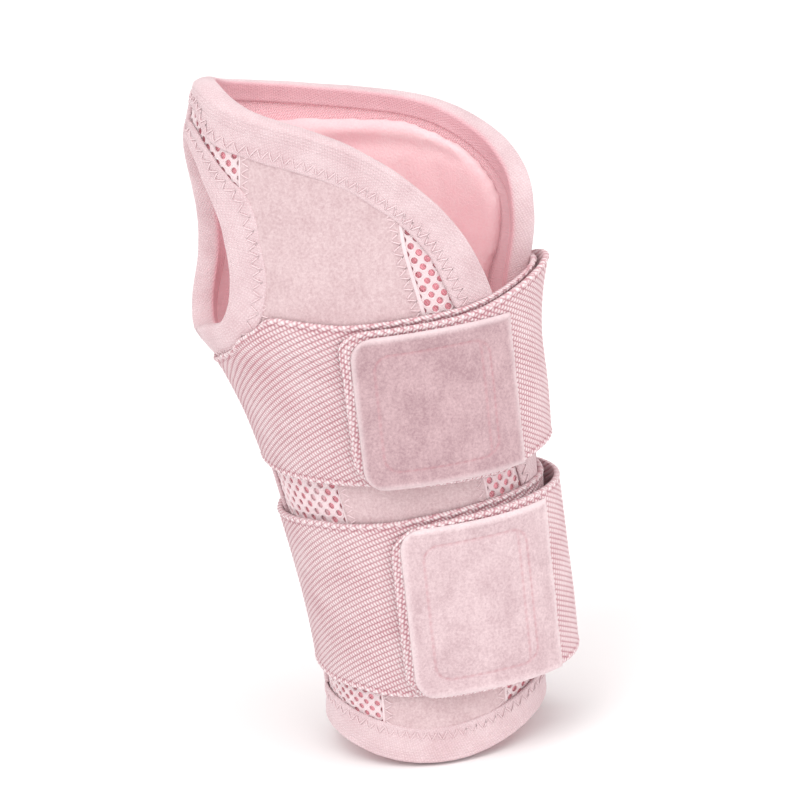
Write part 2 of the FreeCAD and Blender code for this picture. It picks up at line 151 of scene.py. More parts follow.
def spline(table, column, place):
    """Smooth value of one column of a table, at a place in its first column."""
    table = np.asarray(table, float)
    x, y = table[:, 0], table[:, column]
    place = np.clip(place, x[0], x[-1])
    slope = np.empty(len(x))
    slope[1:-1] = (y[2:] - y[:-2]) / (x[2:] - x[:-2])
    slope[0], slope[-1] = (y[1] - y[0]) / (x[1] - x[0]), (y[-1] - y[-2]) / (x[-1] - x[-2])
    low = np.clip(np.searchsorted(x, place) - 1, 0, len(x) - 2)
    step = x[low + 1] - x[low]
    t, rise = (place - x[low]) / step, y[low + 1] - y[low]
    start, end = slope[low] * step, slope[low + 1] * step
    return y[low] + t * start + t * t * (3 * rise - 2 * start - end) + t ** 3 * (start + end - 2 * rise)


def totals(steps):
    """Running totals of steps, from 0."""
    return np.concatenate([[0], np.cumsum(steps)])


def form(angle, height, out):
    """Points on the sleeve's form, moved out from its face."""
    angle, height, out = np.broadcast_arrays(*[np.asarray(v, float) for v in (angle, height, out)])
    thumb, slit, front, palm = [spline(FORM, column, height) for column in (1, 2, 3, 4)]
    turn = np.radians(angle)
    side, fore = np.sin(turn), np.cos(turn)
    fullness = 1 + PALM_FULLNESS * np.sin(2 * turn) ** 2 * (fore < 0)
    x = (slit - thumb) / 2 + ((slit + thumb) / 2 + out) * side * fullness
    y = (palm - front) / 2 - ((palm + front) / 2 + out) * fore * fullness
    return np.stack([x, y, height], axis=-1)


def reach(angle, height):
    """Millimetres to a degree round the sleeve."""
    return np.linalg.norm(form(angle + 1, height, 0) - form(angle - 1, height, 0), axis=-1) / 2


def hem(angle):
    return HEM_RISE * np.sin(np.radians(angle)) ** 2


def hemmed(angle, z):
    """Height above the hem, which rises at the sides."""
    return z + hem(angle) * np.clip(1 - z / HEM_FADE, 0, 1)


def path_points(points, count, closed=False):
    """(angle, height) points evenly along a smooth curve through the given ones."""
    p = np.array(points, float)
    if closed:
        p = np.concatenate([p[-3:], p, p[:4]])
    scale = np.array([0.6, 1.0])          # about how many millimetres a degree and a height unit are
    along = totals(np.linalg.norm(np.diff(p, axis=0) * scale, axis=1))
    table = np.column_stack([along, p])
    first, last = (along[3], along[-4]) if closed else (0, along[-1])
    fine = np.linspace(first, last, 2000)
    curve = np.column_stack([spline(table, column, fine) for column in (1, 2)])
    place = totals(np.linalg.norm(np.diff(form(*curve.T, 0), axis=0), axis=1))
    even = np.linspace(0, place[-1], count + 1 if closed else count)
    even = even[:-1] if closed else even
    return np.column_stack([np.interp(even, place, part) for part in curve.T])


def angle_of_height(points):
    """Function giving the angle at a height on a path that rises all the way."""
    curve = path_points(points, 600)
    curve = curve[np.argsort(curve[:, 1])]
    return lambda height: np.interp(height, curve[:, 1], curve[:, 0])


def noise(shape, cells, seed):
    """Smooth random bumps from -1 to 1 over a grid."""
    out = np.random.default_rng(seed).uniform(-1, 1, (cells[0] + 3, cells[1] + 3))
    for axis in (0, 1):
        place = np.linspace(1, cells[axis] + 1, shape[axis])
        low = place.astype(int)
        t = place - low
        t = t * t * (3 - 2 * t)
        take = np.take(out, low, axis), np.take(out, low + 1, axis)
        t = t[:, None] if axis == 0 else t[None, :]
        out = take[0] * (1 - t) + take[1] * t
    return out


# ---- meshes

def placed(name, data):
    made = bpy.data.objects.new(name, data)
    scene.collection.objects.link(made)
    return made


def read(items, key, wide, kind=float):
    """A value of every vertex, edge or loop of a mesh, one row each."""
    values = np.empty(len(items) * wide, kind)
    items.foreach_get(key, values)
    return values.reshape(-1, wide)


def make_mesh(name, points, faces, material, uv=None, tone=None):
    mesh = bpy.data.meshes.new(name)
    mesh.from_pydata(np.asarray(points) * MM, [], faces)
    mesh.polygons.foreach_set("use_smooth", np.ones(len(mesh.polygons), bool))
    if uv is not None:
        corner = read(mesh.loops, "vertex_index", 1, np.int32).ravel()
        layer = mesh.uv_layers.new(name="UVMap")
        layer.data.foreach_set("uv", np.asarray(uv, np.float32).reshape(-1, 2)[corner].ravel())
    if tone is not None:
        attribute = mesh.attributes.new("tone", "FLOAT", "POINT")
        attribute.data.foreach_set("value", np.asarray(tone, np.float32).ravel())
    mesh.materials.append(material)
    mesh.validate()
    return placed(name, mesh)


def quads_of(index):
    """Four-sided faces between neighbouring rings of point numbers, each ring a loop."""
    after = np.roll(index, -1, axis=-1)
    corners = [index[..., :-1, :], after[..., :-1, :], after[..., 1:, :], index[..., 1:, :]]
    return np.stack(corners, axis=-1).reshape(-1, 4)


def volume(points, quads):
    """Six times the volume inside quads; below 0 where they face inwards."""
    a, b, c, d = [points[quads[:, k]] for k in range(4)]
    return (a * np.cross(b, c)).sum() + (a * np.cross(c, d)).sum()


def sweep(name, rings, material, uv=None, tone=None, closed=False):
    """Closed piece from rings of points, each ring a loop."""
    rings = np.asarray(rings, float)
    n, m = rings.shape[:2]
    index = np.arange(n * m).reshape(n, m)
    quads = quads_of(np.concatenate([index, index[:1]]) if closed else index)
    points = rings.reshape(-1, 3)
    flip = volume(points, quads) < 0
    faces = (quads[:, ::-1] if flip else quads).tolist()
    if not closed:
        caps = [index[0][::-1].tolist(), index[-1].tolist()]
        faces += [cap[::-1] for cap in caps] if flip else caps
    return make_mesh(name, points, faces, material, uv, tone)


def two_sided(name, face, behind, every, uv, material, tone=None):
    """Closed sheet: its face from left to right, then its back, which takes one column in so many."""
    back = slice(None, None, -every)
    if tone is not None:
        tone = np.concatenate([tone, 0 * tone[:, back]], axis=1)
    uv = np.concatenate([uv, uv[:, back]], axis=1)
    return sweep(name, np.concatenate([face, behind[:, back]], axis=1), material, uv, tone)


def sheet(name, angle, height, out, thick, material, every=4):
    """Closed sheet laid on the form."""
    uv = np.stack([angle * UV_PER_DEGREE, height], axis=-1)
    face, behind = form(angle, height, out), form(angle, height, out - thick)
    return two_sided(name, face, behind, every, uv, material)


def piece(made, slot, *nodes, body="sleeve"):
    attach(made, body)
    if nodes:
        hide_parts(*nodes)
    return made


def unit(vectors):
    return vectors / (np.linalg.norm(vectors, axis=1)[:, None] + 1e-12)


def tube(name, lines, radius, material, sides=6):
    """Round threads along lines of points, as one mesh."""
    points, faces = [], []
    for line in lines:
        along = unit(np.gradient(line, axis=0))
        side = unit(np.cross(along, (0.31, 0.2, 0.93)))
        up = np.cross(side, along)
        start = sum(len(p) for p in points)
        turn = np.linspace(0, 2 * math.pi, sides, endpoint=False)
        swing = np.cos(turn)[None, :, None] * side[:, None] + np.sin(turn)[None, :, None] * up[:, None]
        ring = line[:, None] + radius * swing
        points.append(ring.reshape(-1, 3))
        faces.append(quads_of(start + np.arange(len(line) * sides).reshape(len(line), sides)))
    return make_mesh(name, np.concatenate(points), np.concatenate(faces).tolist(), material)


# ---- materials

def srgb(colour):
    """Linear colour of an sRGB one; right for values above 10, where the curve is a power."""
    return [((v / 255 + 0.055) / 1.055) ** 2.4 for v in colour] + [1]


class Cloth:
    """A procedural material, built up node by node."""

    def __init__(self, name):
        self.material = bpy.data.materials.new(name)
        self.material.use_nodes = True
        self.tree = self.material.node_tree
        self.tree.nodes.clear()
        where = self.add("TexCoord")
        self.place, self.uv = where.outputs["Object"], where.outputs["UV"]

    def add(self, kind, inputs=None, **settings):
        """New node; an input may be a socket to link, a number, or a tuple, which is an sRGB colour."""
        node = self.tree.nodes.new("ShaderNode" + kind)
        for key, value in settings.items():
            setattr(node, key, value)
        for key, value in (inputs or {}).items():
            if isinstance(value, bpy.types.NodeSocket):
                self.tree.links.new(value, node.inputs[key])
            else:
                node.inputs[key].default_value = srgb(value) if isinstance(value, tuple) else value
        return node

    def math(self, operation, a, b=0.0, c=0.0):
        return self.add("Math", {0: a, 1: b, 2: c}, operation=operation).outputs[0]

    def plus(self, a, b):
        return self.math("ADD", a, b)

    def times(self, a, b, then_add=None):
        if then_add is None:
            return self.math("MULTIPLY", a, b)
        return self.math("MULTIPLY_ADD", a, b, then_add)

    def split_uv(self):
        return self.add("SeparateXYZ", {"Vector": self.uv}).outputs[:2]

    def tone(self):
        """The mesh's own tone, from its attribute."""
        return self.add("Attribute", attribute_name="tone").outputs["Fac"]

    def noise(self, per_mm, detail=3.0, stretch=(1, 1, 1), rough=0.5):
        scaled = self.add("Mapping", {"Vector": self.place, "Scale": [1000.0 * per_mm * s for s in stretch]})
        return self.add("TexNoise", {"Vector": scaled.outputs[0], "Scale": 1.0, "Detail": detail,
                                     "Roughness": rough}).outputs["Fac"]

    def ramp(self, value, low, high, start=0.0, end=1.0):
        return self.add("MapRange", {"Value": value, "From Min": low, "From Max": high,
                                     "To Min": start, "To Max": end}).outputs[0]

    def wave(self, value, pitch):
        """From 0 to 1 and back each pitch."""
        turn = self.times(value, 2 * math.pi / pitch, 0.0)
        return self.times(self.math("COSINE", turn), 0.5, 0.5)

    def mix(self, amount, a, b):
        return self.add("Mix", {0: amount, 6: a, 7: b}, data_type="RGBA").outputs[2]

    def finish(self, colour, height=None, depth_mm=0.1, sheen=0.25, rough=0.9, shine=0.2, glow=0.0):
        """glow stands for the light that comes through thin cloth from behind."""
        inputs = {"Base Color": colour, "Roughness": rough, "Specular IOR Level": shine,
                  "Sheen Weight": sheen, "Sheen Roughness": 0.45,
                  "Emission Color": colour, "Emission Strength": glow}
        if height is not None:
            raised = self.add("Bump", {"Height": height, "Strength": 1.0, "Distance": depth_mm * MM})
            inputs["Normal"] = raised.outputs[0]
        return self.shade(inputs)

    def shade(self, inputs):
        shader = self.add("BsdfPrincipled", inputs)
        self.add("OutputMaterial", {"Surface": shader.outputs[0]})
        return self.material


def suede(name, light, dark, mottle):
    """Brushed suede; the mesh's tone paints a highlight on a rolled edge and paints shade in a crease."""
    c = Cloth(name)
    tone = c.tone()
    grain = c.noise(1.3, 5.0, rough=0.75)
    patches = c.noise(0.09, 4.0, rough=0.6)
    brushed = c.noise(0.35, 4.0, stretch=(1.6, 1, 0.6))
    amount = c.plus(c.ramp(patches, 0.4, 0.66, 0, mottle), c.ramp(grain, 0.34, 0.66, -0.1, 0.7))
    amount = c.plus(amount, c.ramp(brushed, 0.35, 0.7, 0, 0.2))
    height = c.plus(grain, c.times(brushed, 0.8))
    colour = c.mix(amount, light, dark)
    # Painted highlight towards near white where the tone is above 0; painted shade towards a deeper pink
    # where it is below 0.
    colour = c.mix(tone, colour, (252, 236, 238))
    colour = c.mix(c.times(tone, -1.0), colour, (206, 148, 156))
    return c.finish(colour, height, 0.16, sheen=0.3)


def knit(name, light, dark, rib=0.95, course=0.8):
    """Fine knitted tape: the UV runs along it and across it, in millimetres."""
    c = Cloth(name)
    along, across = c.split_uv()
    wander = c.noise(0.7, 3.0)
    slant = c.times(along, 0.6, c.times(wander, 1.1, across))
    stitch = c.times(c.wave(slant, rib), c.wave(c.times(across, -0.4, along), course))
    fuzz = c.noise(1.5, 4.0, rough=0.7)
    patches = c.noise(0.11, 2.0)
    # Painted shade between the stitches: the lower the stitch relief, the darker; the fuzz and patches are
    # random tone.
    amount = c.plus(c.times(c.math("SUBTRACT", 1.0, stitch), 0.42), c.ramp(fuzz, 0.3, 0.75, 0, 0.4))
    amount = c.plus(amount, c.ramp(patches, 0.4, 0.7, -0.05, 0.22))
    height = c.plus(c.times(stitch, 0.8), fuzz)
    # Painted shade: the tape's inner leaf, inside the sleeve, is mixed towards a deeper pink.
    inner_leaf_shade = c.times(c.tone(), 0.55)
    colour = c.mix(inner_leaf_shade, c.mix(amount, light, dark), (238, 170, 181))
    return c.finish(colour, height, 0.16, sheen=0.3)


def weave(name, light, mid, dark):
    """Thick woven elastic: the UV counts beads along each row, and rows."""
    c = Cloth(name)
    bead, row = c.split_uv()
    odd = c.times(c.math("MODULO", c.math("FLOOR", row), 2.0), 0.5)
    across = c.math("SINE", c.times(c.math("FRACT", row), math.pi))
    along = c.wave(c.plus(bead, odd), 1.0)
    nub = c.times(c.math("POWER", across, 0.7), c.times(along, 0.8, 0.2))
    # The mesh's tone: white selvedge beads, with painted shade between the beads and in the groove beside the
    # selvedge.
    selvedge = c.tone()
    fuzz = c.noise(1.6, 4.0, rough=0.7)
    worn = c.ramp(c.noise(0.09, 3.0), 0.35, 0.7, -0.08, 0.1)
    # Painted highlight on the raised nubs and painted shade in the grooves between rows, beside random fuzz,
    # the mesh's tone and worn patches.
    bright = c.times(nub, 1.25, c.times(fuzz, 0.35, -0.2))
    bright = c.plus(bright, c.math("SUBTRACT", selvedge, worn))
    colour = c.mix(c.ramp(bright, 0.0, 0.55), dark, mid)
    colour = c.mix(c.ramp(bright, 0.6, 1.25), colour, light)
    return c.finish(colour, c.times(fuzz, 0.25, nub), 0.32, sheen=0.2)


def plain(name, light, dark, per_mm=2.2, depth=0.1, sheen=0.3, rough=0.9):
    c = Cloth(name)
    fine = c.noise(per_mm, 4.0, rough=0.65)
    broad = c.noise(0.1, 2.0)
    amount = c.plus(c.ramp(fine, 0.3, 0.75, 0, 0.6), c.ramp(broad, 0.35, 0.7, 0, 0.4))
    return c.finish(c.mix(amount, light, dark), fine, depth, sheen, rough)


def ribbed(name, light, dark, pitch, slope=0.0, glow=0.0):
    """Ribs along the UV's second axis, or slanting across it."""
    c = Cloth(name)
    across, along = c.split_uv()
    rib = c.wave(c.times(along, slope, across), pitch)
    links = c.wave(c.times(rib, 0.3, along), 0.9)
    fuzz = c.noise(2.4, 4.0, rough=0.7)
    height = c.plus(rib, c.times(c.times(rib, links), 0.5))
    # Painted shade between the ribs: the lower the rib relief, the darker; the fuzz is random tone.
    amount = c.math("SUBTRACT", 1.1, c.times(fuzz, 0.8, c.times(height, 0.5)))
    return c.finish(c.mix(amount, light, dark), c.plus(height, fuzz), 0.2, sheen=0.3, glow=glow)


def metal(name, colour):
    c = Cloth(name)
    brushed = c.noise(0.6, 4.0, stretch=(8, 8, 0.15))
    darker = [v * 0.8 for v in srgb(colour)[:3]] + [1]
    return c.shade({"Base Color": c.mix(c.ramp(brushed, 0.3, 0.7), colour, darker),
                    "Metallic": 1.0, "Roughness": c.ramp(brushed, 0.3, 0.7, 0.28, 0.42)})


SUEDE = suede("suede", (229, 206, 208), (199, 168, 172), 0.16)
TAB_SUEDE_UPPER = suede("tab_suede_upper", (213, 183, 187), (176, 144, 150), 0.42)
TAB_SUEDE_LOWER = suede("tab_suede_lower", (231, 208, 211), (198, 170, 175), 0.36)
BINDING = knit("binding", (243, 223, 226), (211, 178, 183))
WEAVE = weave("webbing", (252, 240, 241), (232, 204, 208), (196, 140, 149))
NET = plain("mesh", (246, 230, 232), (235, 210, 214), depth=0.06)
LINING = ribbed("lining", (255, 188, 198), (250, 158, 172), 0.8, 0.6, 0.13)
PALM_LINING = ribbed("palm_lining", (255, 218, 223), (249, 188, 197), 0.65, 0.6, 0.13)
PALM_CLOTH = ribbed("palm_cloth", (240, 208, 212), (212, 168, 175), 1.25)
PLUSH = plain("plush", (251, 221, 224), (249, 202, 208), 1.6, 0.22, sheen=0.6)
THREAD = plain("thread", (245, 226, 229), (230, 201, 205), 4.0, 0.03, sheen=0.15, rough=0.7)
STAY_TAPE = plain("stay_tape", (250, 216, 221), (243, 198, 205))
POCKET = ribbed("pocket_cloth", (241, 210, 214), (214, 172, 178), 0.9, 0.0)
HOOKS = plain("hook_tape", (240, 210, 214), (214, 172, 178), 3.0, 0.1, sheen=0.1, rough=0.6)
METAL = metal("splint_metal", (214, 214, 218))
CAP = plain("cap_plastic", (244, 214, 218), (236, 202, 207), 0.8, 0.02, sheen=0.0, rough=0.45)
STAY_PLASTIC = plain("stay_plastic", (242, 240, 236), (230, 228, 224), 0.8, 0.02, sheen=0.0, rough=0.5)

# ---- camera, before anything is made
VIEW_TARGET = Vector((0, 0, 0.1054))
VIEW_DISTANCE, VIEW_RAISED, VIEW_LEAN = 0.9, math.radians(16), math.radians(6.5)
PIXELS_PER_METRE_AT_TARGET, PICTURE_PIXELS = 3300, 800

camera_data = bpy.data.cameras.new("camera")
camera_data.sensor_width = 36
camera_data.lens = PIXELS_PER_METRE_AT_TARGET * VIEW_DISTANCE * camera_data.sensor_width / PICTURE_PIXELS
camera = placed("camera", camera_data)
back = Vector((0, -math.cos(VIEW_RAISED), math.sin(VIEW_RAISED)))
level_right = Vector((1, 0, 0))
level_up = back.cross(level_right)
right = math.cos(VIEW_LEAN) * level_right - math.sin(VIEW_LEAN) * level_up
up = math.cos(VIEW_LEAN) * level_up + math.sin(VIEW_LEAN) * level_right
turned = Matrix((right, up, back)).transposed().to_4x4()
camera.matrix_world = Matrix.Translation(VIEW_TARGET + back * VIEW_DISTANCE) @ turned
bpy.context.scene.camera = camera
camera_data.clip_start, camera_data.clip_end = 0.05, 20

# ---- panels of the sleeve
edge_front, edge_back = angle_of_height(FRONT_EDGE), angle_of_height(BACK_EDGE)
thumb_border, slit_border = angle_of_height(THUMB_BORDER), angle_of_height(SLIT_BORDER)
hole_front = angle_of_height(THUMB_HOLE[:10])
hole_back = angle_of_height(THUMB_HOLE[10:] + THUMB_HOLE[:1])
HOLE_LOW, HOLE_HIGH = 135.4, 193.2


def in_hole(z):
    return (z > HOLE_LOW) & (z < HOLE_HIGH)


def front_left(z):
    return np.where(in_hole(z), np.maximum(hole_front(z), SEAM_ANGLE + 0.5), SEAM_ANGLE - 0.1)


CLOTH_EDGES = np.concatenate([form(*path_points(*path).T, 0)
                              for path in ((FRONT_EDGE, 500), (THUMB_HOLE, 400, True))])
NET_MARGIN = 2.25         # room for a hole of the mesh before an edge
CUFF_CORNER, CORNER_ROOM = 21.0, 5.0      # below this height the slit's edge keeps more room, in degrees


def inside_front(angle, z):
    """Whether a place is on the front, with room before its edges."""
    place = form(angle, z, 0)
    near = np.array([np.linalg.norm(CLOTH_EDGES - spot, axis=1).min() for spot in place])
    slit_side = edge_front(z) - np.where(z < CUFF_CORNER, CORNER_ROOM, 0.0)
    thumb_side = np.maximum(front_left(z), SEAM_ANGLE + 2.5)
    return (z > 0) & (angle > thumb_side) & (angle < slit_side) & (near > NET_MARGIN)


def palm_left(z):
    return edge_back(z) + 0.5


def palm_right(z):
    return np.where(in_hole(z), np.minimum(hole_back(z), SEAM_ANGLE - 0.5), SEAM_ANGLE + 0.1)


PANEL_STEP = 1.3


def panel(name, left, right, top, out, thick, material, seed, relief=None):
    """Thick sheet between two borders, from the hem up."""
    columns = 90
    z, t = grid(0, top, int(top / PANEL_STEP), columns)
    angle = left(z) * (1 - t) + right(z) * t
    height = hemmed(angle, z)
    lift = 0.22 * noise(angle.shape, (14, 6), seed)
    if relief is not None:
        lift = lift + relief(angle, height, t)
    edge = np.minimum(t, 1 - t) * columns * 0.5
    return sheet(name, angle, height, out + lift - 0.3 * rim(edge, 1), thick, material)


FRONT_TOP, LINING_TOP, PALM_TOP = 199.6, 206.0, 206.5
front_panel = piece(panel(
    "front_suede", thumb_border, lambda z: np.minimum(slit_border(z), edge_front(z)), FRONT_TOP, 0.4,
    PANEL_THICK, SUEDE, 3, lambda a, h, t: 0.25 * (1 - (2 * t - 1) ** 6)), "suede", "front_panel")


def under_mesh(angle, height, t):
    """The lining comes up close behind the mesh."""
    from_panel = np.maximum(thumb_border(height) - angle, angle - slit_border(height))
    return 1.45 * smooth(0, 4, from_panel)


front_lining = piece(panel("front_inside", front_left, lambda z: edge_front(z + 1.5) - 1, LINING_TOP,
                           LINING_OUT, LINING_THICK, LINING, 4, under_mesh), "lining", "front_lining")
palm_panel = piece(panel("palm_outside", palm_left, palm_right, PALM_TOP, 0.0, PANEL_THICK, PALM_CLOTH,
                         5), "palm_cloth", "palm_panel")
palm_lining = piece(panel("palm_inside", palm_left, palm_right, PALM_TOP, LINING_OUT, LINING_THICK,
                          PALM_LINING, 6), "lining", "palm_lining")

# ---- open mesh
CELL = (4.0, 4.4)
HOLE_RADIUS = 1.02
UNDERLAP = 1.8            # how far the mesh runs in under the front panel
WALK_STEPS = 12


def walk(start_angle, distance, height):
    """Angle reached by going a distance round the sleeve."""
    angle = np.array(start_angle, float)
    for _ in range(WALK_STEPS):
        angle = angle + distance / WALK_STEPS / reach(angle, height)
    return angle


def net(name, border, direction, top):
    """Warp-knitted mesh: a centred lattice of round holes, laid off from a border."""
    half_x, half_y = CELL[0] / 2, CELL[1] / 2
    flat = (half_x ** 2 + half_y ** 2) / 2
    tip_y, side_y = flat / half_y, (flat - half_x * half_x) / half_y
    corners = np.array([(half_x, -side_y), (half_x, side_y), (0, tip_y),
                        (-half_x, side_y), (-half_x, -side_y), (0, -tip_y)])
    outline = []
    for k, (corner, after) in enumerate(zip(corners, np.roll(corners, -1, axis=0))):
        shares = (0,) if k in (0, 3) else (0, 1 / 3, 2 / 3)       # the upright sides are short
        outline += [corner + (after - corner) * share for share in shares]
    outline = np.array(outline)
    reach_of = np.linalg.norm(outline, axis=1)[:, None]
    around = outline / reach_of
    rims = [(outline, -0.22), (around * (HOLE_RADIUS + (reach_of - HOLE_RADIUS) * 0.5), -0.02),
            (around * (HOLE_RADIUS + 0.12), -0.1), (around * HOLE_RADIUS, -0.35),
            (around * (HOLE_RADIUS + 0.05), -0.8), (outline, -0.85)]
    columns, rows = np.meshgrid(np.arange(-1, 30), np.arange(-2, int(top / half_y) + 1))
    centre_s = (columns * half_x * 2 + (rows % 2) * half_x - UNDERLAP).ravel() * direction
    centre_z = (rows * half_y).ravel().astype(float)
    keep = inside_front(walk(border(centre_z), centre_s, centre_z), centre_z)
    centre_s, centre_z = centre_s[keep], centre_z[keep]
    count, sides = len(centre_s), len(outline)
    puff = np.random.default_rng(11).uniform(0.93, 1.07, count)[:, None, None]
    centres = np.stack([centre_s, centre_z], axis=-1)[:, None]
    rings = [centres + ring * (puff if 1 < k < 5 else 1.0) for k, (ring, _) in enumerate(rims)]
    plane = np.stack(rings, axis=1).reshape(-1, 2)
    out = np.tile(np.repeat([out for _, out in rims], sides), count)
    height = np.maximum(plane[:, 1], 0.5)
    angle = walk(border(height), plane[:, 0], height)
    height = hemmed(angle, height)
    index = np.arange(len(plane)).reshape(count, len(rims), sides)
    same_place = np.round(np.column_stack([plane, out]) * 50).astype(np.int64)
    _, first, inverse = np.unique(same_place, axis=0, return_index=True, return_inverse=True)
    under = 0.6 * (1 - smooth(-0.3, 1.2, np.abs(plane[:, 0]) * np.sign(plane[:, 0] * direction)))
    points = form(angle[first], height[first], (out - 0.05 - under)[first])
    ends = [inverse.ravel()[index[:, level]] for level in (0, -1)]
    high_pairs, low_pairs = [np.stack([end, np.roll(end, -1, axis=1)], axis=-1).reshape(-1, 2)
                             for end in ends]
    _, which, used = np.unique(np.sort(high_pairs, axis=1), axis=0, return_inverse=True, return_counts=True)
    outer = used[which.ravel()] == 1       # a cell's side that no other cell shares gets a wall
    walls = np.column_stack([high_pairs[outer][:, ::-1], low_pairs[outer]])
    quads = np.concatenate([inverse.ravel()[quads_of(index)], walls])
    quads = quads[:, ::-1] if direction < 0 else quads
    return make_mesh(name, points, quads.tolist(), NET), count * half_x * half_y * 2


thumb_net, thumb_net_area = net("thumb_side_net", thumb_border, -1, 206)
slit_net, slit_net_area = net("slit_side_net", slit_border, 1, 182)
piece(thumb_net, "mesh", "thumb_side_mesh")
piece(slit_net, "mesh", "slit_side_mesh")


def solid_band(name, border, direction, top, wide):
    """The mesh's own selvedge, a narrow band with no holes, beside the front panel."""
    z, t = grid(2, top, 260, 9)
    angle = border(z) + direction * (t * (wide + 0.5) - 0.5) / reach(border(z), z)
    lift = 0.26 - 0.3 * np.clip(t * 4 - 3, 0, 1) ** 2 + 0.05 * noise((260, 9), (60, 2), 17)
    return sheet(name, angle, z + 0 * t, lift, 0.3, NET, 2)


thumb_selvedge = piece(solid_band("thumb_side_selvedge", thumb_border, -1, 197, 0.35), "mesh")
slit_selvedge = piece(solid_band("slit_side_selvedge", slit_border, 1, 180, 0.7), "mesh")

STAY_LOW, STAY_HIGH, STAY_ROUND = 13.0, 121.0, 9.0
STAY_MIDDLE, STAY_HALF = 16.0, 6.3        # degrees, from the front panel's border


def stay_strip():
    """The tape over the stay, seen through the holes."""
    z, t = grid(STAY_LOW, STAY_HIGH, 70, 15, -1)
    from_round = np.clip(STAY_LOW + STAY_ROUND - z, 0, STAY_ROUND) / STAY_ROUND
    round_end = np.sqrt(np.clip(1 - from_round ** 2, 0.02, 1))
    angle = thumb_border(z) - STAY_MIDDLE + STAY_HALF * t * round_end
    return sheet("stay_strip", angle, z + 0 * t, -1.1 - 0.25 * t ** 4 + 0 * z, 0.4, STAY_TAPE, 2)


stay_cloth = piece(stay_strip(), "stay_tape", "stay_cover")

# ---- tapes folded over the edges
TAPE_WIDE, TAPE_NARROW, TAPE_CUT = 10.0, 5.0, 19.5
TAPE_BEND = 1.5           # the tape's first part keeps its depth where the rest is narrowed
STATION = 0.5
ZIGZAG_PITCH, ZIGZAG_HALF, ZIGZAG_INSET, THREAD_RADIUS = 3.5, 1.5, 2.25, 0.19


def zigzag(s):
    return ZIGZAG_HALF * (4 * np.abs((s / ZIGZAG_PITCH) % 1 - 0.5) - 1)


class Edge:
    """Even stations along a path on the form, with the way into the cloth beside it."""

    def __init__(self, points, side, closed=False):
        rough = path_points(points, 400, closed)
        length = np.linalg.norm(np.diff(form(*rough.T, 0), axis=0), axis=1).sum()
        count = int(length / STATION)
        self.angle, self.height = path_points(points, count, closed).T
        self.s = np.arange(count) * length / (count - (0 if closed else 1))
        self.reach = reach(self.angle, self.height)
        self.closed, self.length = closed, length

        def rate(values):
            if closed:
                return np.roll(values, -1) - np.roll(values, 1)
            return np.gradient(values)

        across, up = rate(self.angle) * self.reach, rate(self.height)
        size = np.hypot(across, up)
        across, up = across / size, up / size
        self.turn, self.rise = -up * side / self.reach, across * side
        wide = np.maximum(smooth(16, 40, np.abs(self.angle - SEAM_ANGLE)), 1 - smooth(172, 186, self.height))
        self.width = TAPE_NARROW + (TAPE_WIDE - TAPE_NARROW) * wide

    def at(self, s, depth, out):
        """Points a depth into the cloth from the edge."""
        angle, height, turn, rise = [np.interp(s, self.s, v) for v in
                                     (self.angle, self.height, self.turn, self.rise)]
        return form(angle + turn * depth, height + rise * depth, out)


def tape_profile():
    """(depth, out) round the folded tape: its face first, from the outer edge to the inner one."""
    face = [(10.05, 0.2), (10.25, 0.5), (10.05, 0.92)]
    face += [(d, 1.06) for d in np.arange(9.6, 4.4, -0.4)]
    face += [(d, 1.06 + 0.3 * smooth(4.5, 2.0, d)) for d in np.arange(4.4, 0.1, -0.2)]
    turn = np.linspace(0, math.pi, 15)
    face += [(-1.45 * math.sin(a), -2.05 + 3.4 * math.cos(a)) for a in turn]
    face += [(d, -5.4 + 0.15 * smooth(0.5, 3, d)) for d in np.arange(0.4, 4.5, 0.4)]
    face += [(4.75, -5.0), (4.6, -4.45)]
    behind = [(2.5, -4.35), (0.2, -4.3), (-0.5, -3.4), (-0.62, -2.1), (-0.5, -0.8), (0.2, 0.12), (3, 0.15),
              (6.5, 0.15)]
    return np.array(face + behind), len(face)


def folded_tape(name, edge, seed):
    profile, on_face = tape_profile()
    s = edge.s[:, None]
    full, out = profile[None, :, 0], profile[None, :, 1]
    stretch = (edge.width[:, None] - TAPE_BEND) / (TAPE_WIDE - TAPE_BEND)
    depth = np.where(full > TAPE_BEND, TAPE_BEND + (full - TAPE_BEND) * stretch, full) + 0 * s
    depth = np.where((out < -3.2) & (full > TAPE_BEND), full, depth)      # the inner leaf isn't narrowed
    outer_face = (np.arange(len(profile)) < on_face)[None, :] & (out > 0)
    grooves = sum(bump(depth, 0.22, line) for line in (0.5, 1.4, 2.3, 3.2))
    off = depth - (edge.width[:, None] - ZIGZAG_INSET) - zigzag(s) * stretch
    lift = -0.16 * grooves * outer_face - 0.3 * bump(off, 0.5) * outer_face
    wander = noise(depth.shape, (max(6, int(edge.length / 9)), 5), seed)
    fine = noise(depth.shape, (max(6, int(edge.length / 2.2)), 14), seed + 50)
    lift = lift + np.where(out > -1.5, 0.13 * wander + 0.07 * fine, 0) * (depth > -1.2)
    depth = depth + 0.25 * wander * (depth > 9) + 0.1 * wander * (depth < 0)
    angle = edge.angle[:, None] + edge.turn[:, None] * depth
    height = edge.height[:, None] + edge.rise[:, None] * depth
    across = totals(np.linalg.norm(np.diff(profile, axis=0), axis=1))
    uv = np.stack([s + 0 * depth, across[None, :] + 0 * s], axis=-1)
    # Tone 1 on the inner leaf, where the binding paints shade as a deeper pink.
    leaf = smooth(-4.3, -5.45, out) + 0 * s
    return sweep(name, form(angle, height, out + lift), BINDING, uv, leaf, closed=edge.closed)


